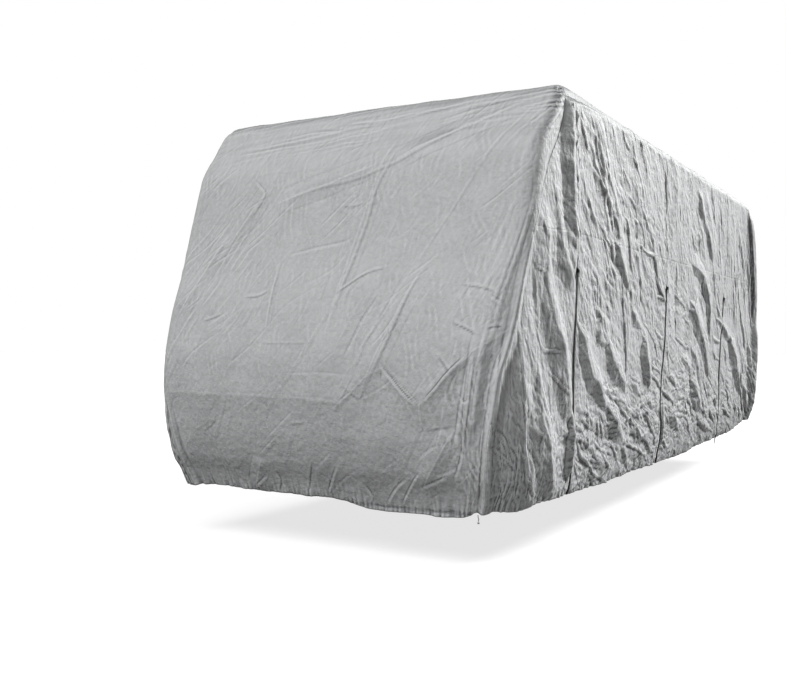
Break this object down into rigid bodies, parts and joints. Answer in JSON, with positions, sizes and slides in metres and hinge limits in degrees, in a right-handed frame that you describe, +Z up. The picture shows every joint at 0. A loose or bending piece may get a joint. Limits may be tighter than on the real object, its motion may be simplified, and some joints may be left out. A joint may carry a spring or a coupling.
{
  "type": "caravan cover",
  "caption": "Fitted grey cloth cover for a touring caravan, open below, with a divided side closed by zips and a loose elastic hem.",
  "frame": {"origin": "under the middle of the roof, on the cover's middle line, level with the roof planes", "axes": "+X towards the side with the zips, +Y from the nose towards the tail, +Z up"},
  "size_m": [2.47, 6.2921, 2.3861],
  "materials": {
    "cover_cloth": "matte, mottled non-woven with a slight sheen",
    "zip_tape": "matte woven tape with a nylon coil",
    "zip_metal": "semi-gloss dark enamel",
    "hem_cord": "matte braided cord"
  },
  "bodies": {
    "root": {"right_nose_lower": "cover_cloth", "right_nose_upper": "cover_cloth", "right_door_lower": "cover_cloth", "right_door_upper": "cover_cloth", "right_middle_lower": "cover_cloth", "right_middle_upper": "cover_cloth", "right_tail_lower": "cover_cloth", "right_tail_upper": "cover_cloth", "left_lower": "cover_cloth", "left_upper": "cover_cloth", "nose_panel": "cover_cloth", "tail_panel": "cover_cloth", "roof_panel": "cover_cloth", "zip_1": "zip_tape", "zip_1_slider": "zip_metal", "zip_1_puller": "zip_metal", "zip_2": "zip_tape", "zip_2_slider": "zip_metal", "zip_2_puller": "zip_metal", "zip_3": "zip_tape", "zip_3_slider": "zip_metal", "zip_3_puller": "zip_metal", "hem_cord": "hem_cord", "hem_cord_knot": "hem_cord"}
  },
  "joints": []
}
